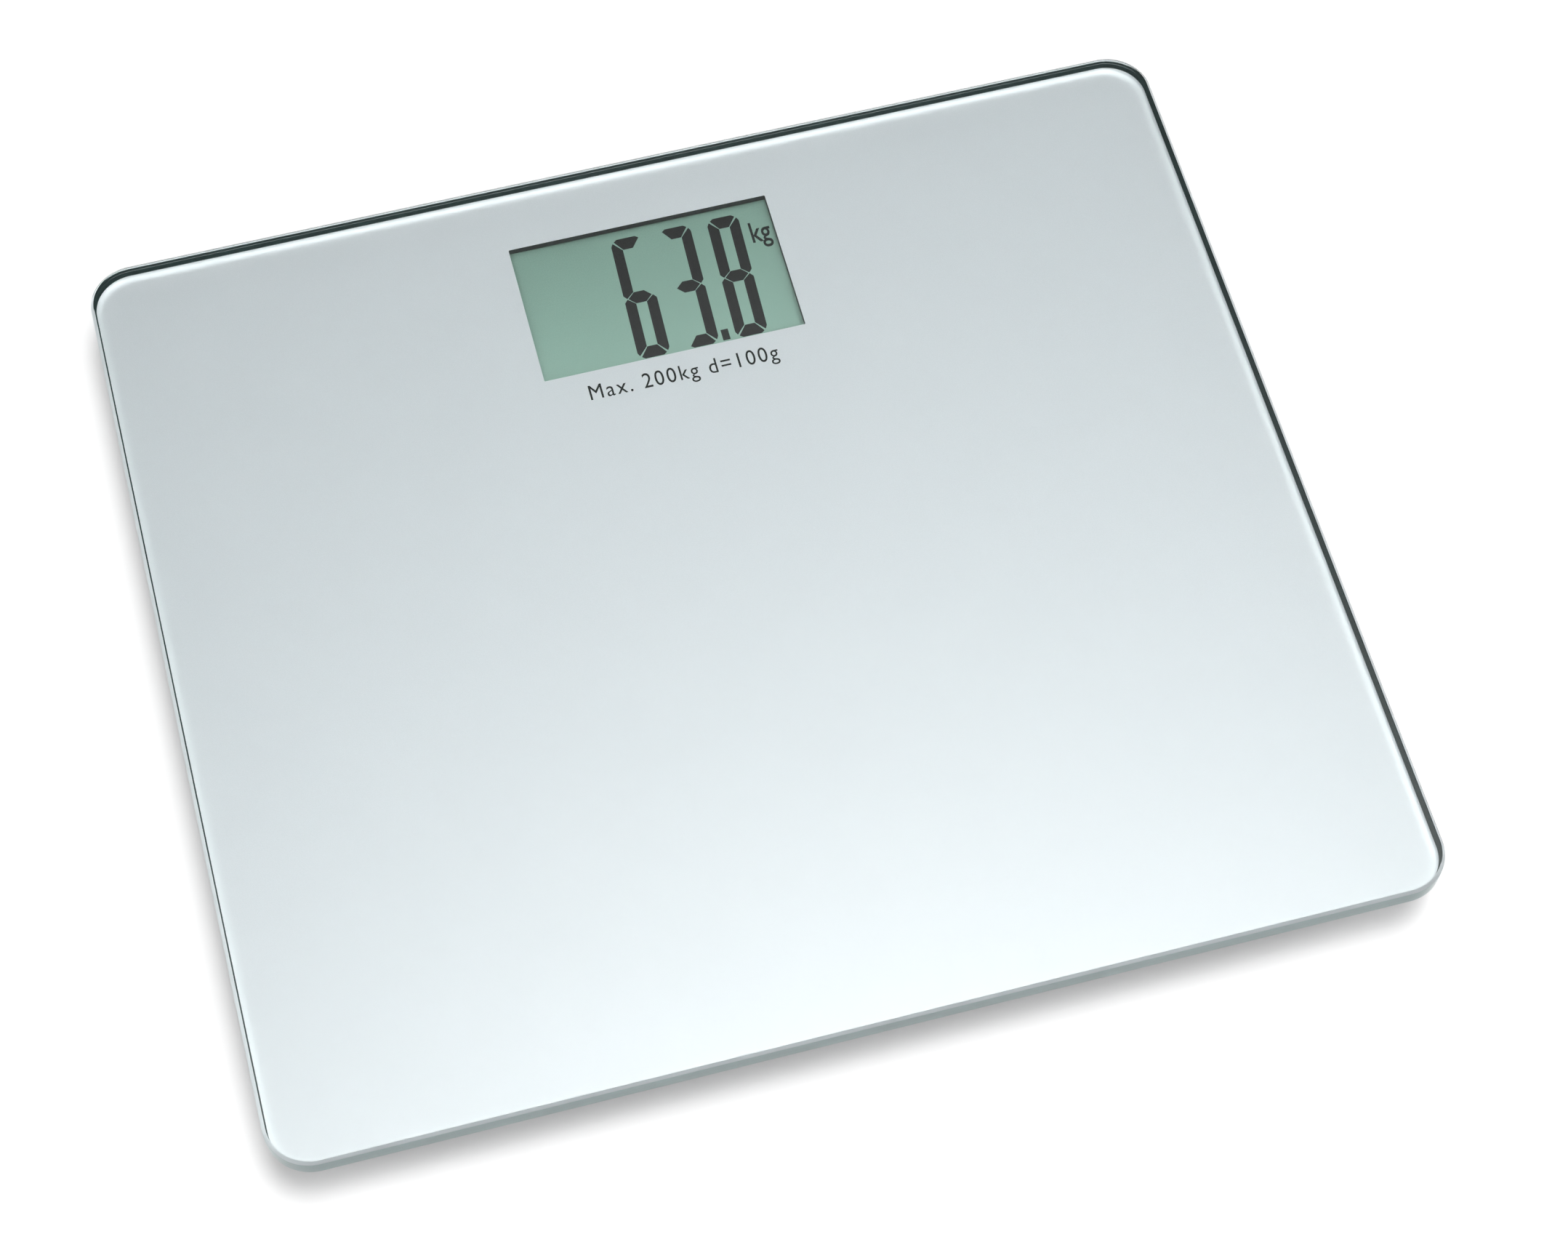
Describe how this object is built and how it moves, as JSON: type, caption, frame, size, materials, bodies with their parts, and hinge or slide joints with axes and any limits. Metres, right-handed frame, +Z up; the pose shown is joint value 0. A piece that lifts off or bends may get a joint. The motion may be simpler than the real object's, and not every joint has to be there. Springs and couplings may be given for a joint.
{
  "type": "glass bathroom scale",
  "caption": "Personal scale: a rounded glass plate with silver lacquer below, a display window near the back edge, load-cell feet under the corners and a battery housing.",
  "frame": {"origin": "on the floor, under the middle of the glass platform", "axes": "+X to the right of the reader and along the glass's longer side, +Y towards the display and the back edge, +Z up out of the glass"},
  "size_m": [0.4, 0.354, 0.028],
  "materials": {
    "clear_glass": "polished float glass, faint green, ground 45 degree arrises",
    "silver_lacquer": "fine metallic silver lacquer on the glass's underside",
    "black_abs": "moulded black ABS with a fine spark texture",
    "grey_rubber": "dark grey moulded rubber",
    "foam_tape": "white double-sided foam tape",
    "cell_steel": "ground and nickel-plated spring steel",
    "lead_vinyl": "pale grey vinyl sheath",
    "lcd_green": "reflective display glass, green-grey, black segments",
    "zebra_rubber": "layered conductive silicone",
    "board_green": "green solder mask",
    "black_epoxy": "black moulding and epoxy",
    "screw_steel": "zinc-plated steel",
    "coin_nickel": "nickel-plated steel can",
    "spring_brass": "nickel-free brass spring strip",
    "label_film": "plain silver polyester label"
  },
  "bodies": {
    "root": {"glass_platform": "clear_glass", "silver_backing": "silver_lacquer", "foot_bracket_front_left": "black_abs", "foot_bracket_front_right": "black_abs", "foot_bracket_back_left": "black_abs", "foot_bracket_back_right": "black_abs", "foot_tape_front_left": "foam_tape", "foot_tape_front_right": "foam_tape", "foot_tape_back_left": "foam_tape", "foot_tape_back_right": "foam_tape", "load_cell_front_left": "cell_steel", "load_cell_front_right": "cell_steel", "load_cell_back_left": "cell_steel", "load_cell_back_right": "cell_steel", "lead_back_left": "lead_vinyl", "lead_back_right": "lead_vinyl", "lead_front_left": "lead_vinyl", "lead_front_right": "lead_vinyl", "lead_clip_back_left_1": "black_abs", "lead_clip_back_left_2": "black_abs", "lead_clip_back_right_1": "black_abs", "lead_clip_back_right_2": "black_abs", "lead_clip_front_left_1": "black_abs", "lead_clip_front_left_2": "black_abs", "lead_clip_front_right_1": "black_abs", "lead_clip_front_right_2": "black_abs", "lcd_frame": "black_abs", "lcd_glass": "lcd_green", "zebra_strip": "zebra_rubber", "display_housing": "black_abs", "housing_tape": "foam_tape", "circuit_board": "board_green", "tact_switch": "black_epoxy", "controller_blob": "black_epoxy", "housing_cover": "black_abs", "coin_cell": "coin_nickel", "contact_minus": "spring_brass", "contact_plus": "spring_brass", "cover_screw_1": "screw_steel", "cover_screw_2": "screw_steel", "cover_screw_3": "screw_steel", "cover_screw_4": "screw_steel", "board_screw_1": "screw_steel", "board_screw_2": "screw_steel", "rating_label": "label_film"},
    "foot_front_left": {"foot_cap_front_left": "black_abs", "foot_pad_front_left": "grey_rubber"},
    "foot_front_right": {"foot_cap_front_right": "black_abs", "foot_pad_front_right": "grey_rubber"},
    "foot_back_left": {"foot_cap_back_left": "black_abs", "foot_pad_back_left": "grey_rubber"},
    "foot_back_right": {"foot_cap_back_right": "black_abs", "foot_pad_back_right": "grey_rubber"},
    "battery_door": {"battery_door": "black_abs"},
    "unit_button": {"unit_button": "grey_rubber"}
  },
  "joints": [
    {"name": "foot_front_left_press", "type": "slide", "parent": "root", "child": "foot_front_left", "axis": [0, 0, 1], "range_m": [0, 0.0005], "stiffness_N_per_m": 2000},
    {"name": "foot_front_right_press", "type": "slide", "parent": "root", "child": "foot_front_right", "axis": [0, 0, 1], "range_m": [0, 0.0005], "stiffness_N_per_m": 2000},
    {"name": "foot_back_left_press", "type": "slide", "parent": "root", "child": "foot_back_left", "axis": [0, 0, 1], "range_m": [0, 0.0005], "stiffness_N_per_m": 2000},
    {"name": "foot_back_right_press", "type": "slide", "parent": "root", "child": "foot_back_right", "axis": [0, 0, 1], "range_m": [0, 0.0005], "stiffness_N_per_m": 2000},
    {"name": "battery_door_hinge", "type": "hinge", "parent": "root", "child": "battery_door", "pos_m": [0, 0.0577, 0.0055], "axis": [-1, 0, 0], "range_deg": [0, 80]},
    {"name": "unit_button_press", "type": "slide", "parent": "root", "child": "unit_button", "axis": [0, 0, 1], "range_m": [0, 0.0005], "stiffness_N_per_m": 4000}
  ]
}
